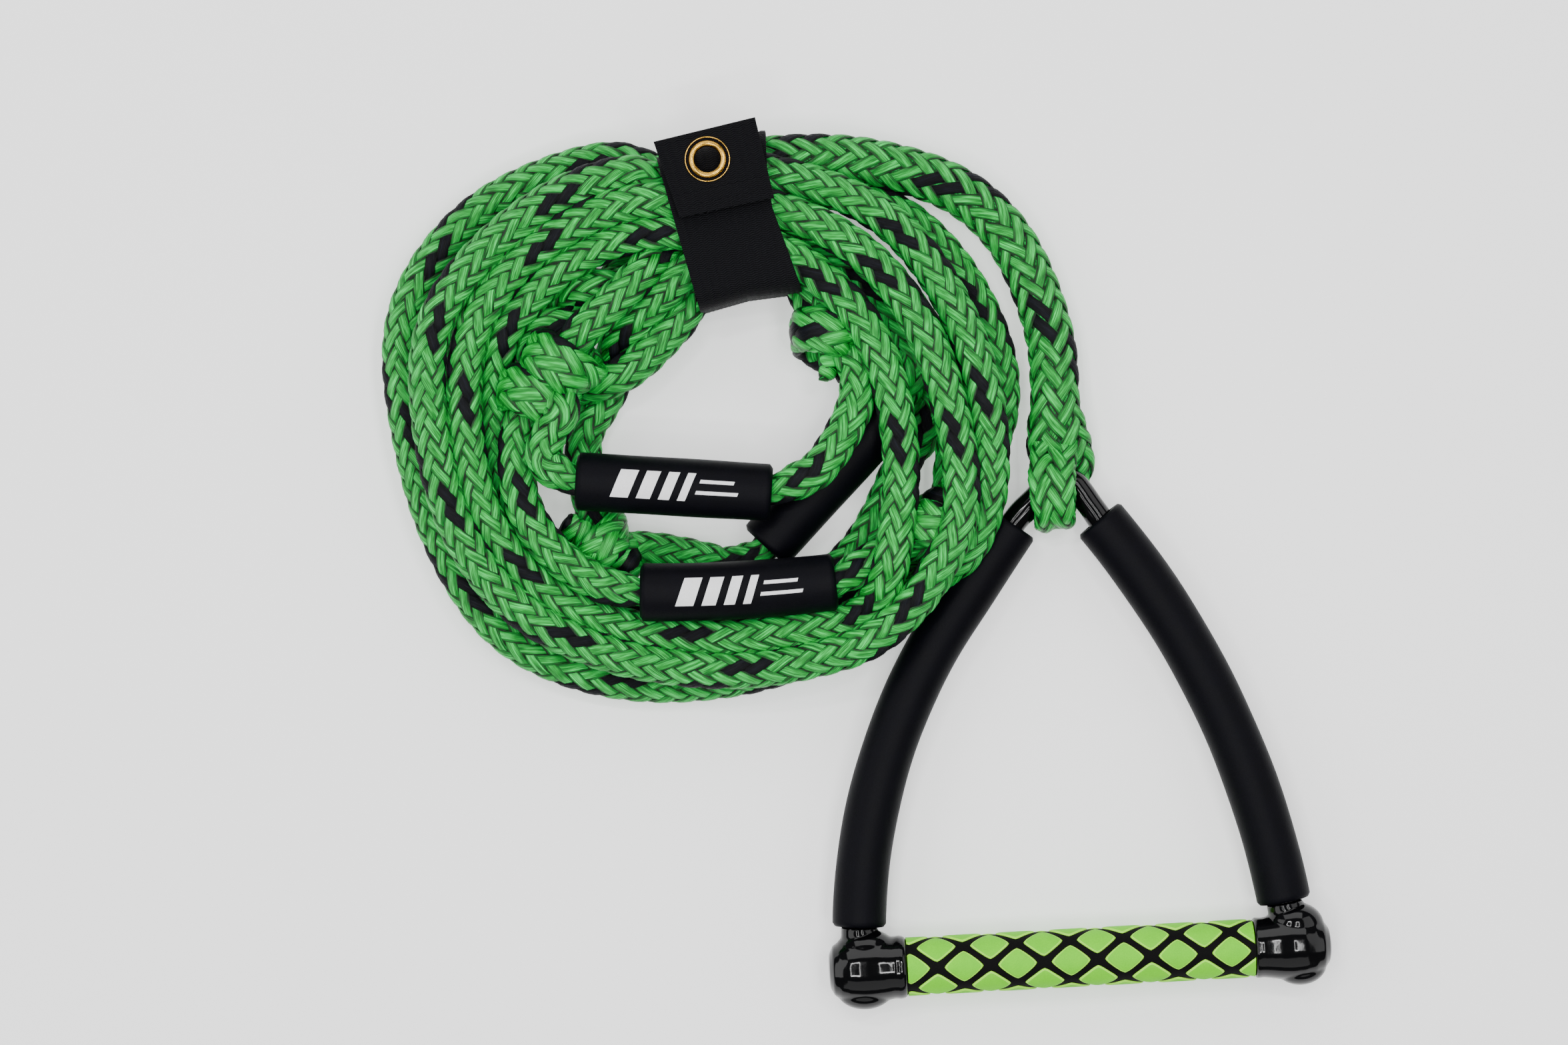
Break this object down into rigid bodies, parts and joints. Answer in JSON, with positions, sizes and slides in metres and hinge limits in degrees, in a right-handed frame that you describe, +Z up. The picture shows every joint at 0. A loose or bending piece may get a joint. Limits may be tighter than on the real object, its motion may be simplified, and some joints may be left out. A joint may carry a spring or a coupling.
{
  "type": "tow rope handle",
  "caption": "Water-ski tow handle: padded bar on a rope bridle, hung in the spliced eye of a coiled, braided floating line with foam floats and a webbing tie.",
  "frame": {"origin": "middle of the handle's own outline, seen from above, on the surface it lies on", "axes": "+X along the bar, +Y from the bar to the bridle's apex, +Z up from the surface"},
  "size_m": [0.4622, 0.4527, 0.0574],
  "materials": {
    "bar_aluminium": "anodised, satin",
    "plug_plastic": "moulded",
    "grip_base": "fine-pored foam, matte",
    "grip_pad": "fine-pored foam, moulded pads",
    "dipped_rubber": "dipped, high gloss",
    "bridle_core": "braided polyethylene",
    "sheath_gloss": "extruded, high gloss",
    "foam": "closed-cell foam, matte",
    "rope_green": "hollow braid of flat filaments, glossy",
    "webbing": "ribbed webbing",
    "hook_and_loop": "hook-and-loop tape",
    "brass": "rolled, polished"
  },
  "bodies": {
    "main_line": {"spliced_eye": "rope_green", "mainline_lead": "rope_green", "mainline_coil": "rope_green", "inner_line_1": "rope_green", "inner_line_2": "rope_green", "inner_line_3": "rope_green", "knot_1a": "rope_green", "knot_1b": "rope_green", "knot_2a": "rope_green", "knot_2b": "rope_green", "knot_3a": "rope_green", "tail_sleeve": "foam", "boat_loop": "rope_green", "strap_band": "webbing", "hook_patch": "hook_and_loop"},
    "handle": {"bar_tube": "bar_aluminium", "bar_plug_left": "plug_plastic", "bar_plug_right": "plug_plastic", "grip_sleeve": "grip_base", "grip_pads": "grip_pad", "end_cap_left": "dipped_rubber", "end_cap_right": "dipped_rubber", "bridle_rope": "bridle_core", "bridle_sheath": "sheath_gloss", "bridle_knot_left": "bridle_core", "bridle_knot_right": "bridle_core"},
    "arm_left": {"arm_tube_left": "foam"},
    "arm_right": {"arm_tube_right": "foam"},
    "float_1": {"float_1": "foam"},
    "float_2": {"float_2": "foam"},
    "float_3": {"float_3": "foam"},
    "strap_flap": {"strap_flap": "webbing", "loop_patch": "hook_and_loop", "grommet_front": "brass", "grommet_back": "brass"}
  },
  "joints": [
    {"name": "handle_yaw", "type": "hinge", "parent": "main_line", "child": "handle", "pos_m": [0.004, 0.1188, 0.017], "axis": [0, 0, 1], "range_deg": [0, 12]},
    {"name": "arm_left_slide", "type": "hinge", "parent": "handle", "child": "arm_left", "pos_m": [0.182, -0.1105, 0.017], "axis": [0, 0, -1], "range_deg": [0, 0.8]},
    {"name": "arm_right_slide", "type": "hinge", "parent": "handle", "child": "arm_right", "pos_m": [-0.3212, -0.1537, 0.017], "axis": [0, 0, 1], "range_deg": [0, 0.5]},
    {"name": "float_1_spin", "type": "hinge", "parent": "main_line", "child": "float_1", "pos_m": [-0.24, 0.1398, 0.037], "axis": [0.9936, -0.1127, 0], "continuous": true},
    {"name": "float_2_spin", "type": "hinge", "parent": "main_line", "child": "float_2", "pos_m": [-0.211, 0.0825, 0.037], "axis": [1, 0, 0], "continuous": true},
    {"name": "float_3_spin", "type": "hinge", "parent": "main_line", "child": "float_3", "pos_m": [-0.1475, 0.1018, 0.015], "axis": [0.7145, 0.6997, 0], "continuous": true},
    {"name": "flap_peel", "type": "hinge", "parent": "main_line", "child": "strap_flap", "pos_m": [-0.1594, 0.271, 0.0524], "axis": [0.9877, 0.1564, 0], "range_deg": [0, 110]}
  ]
}
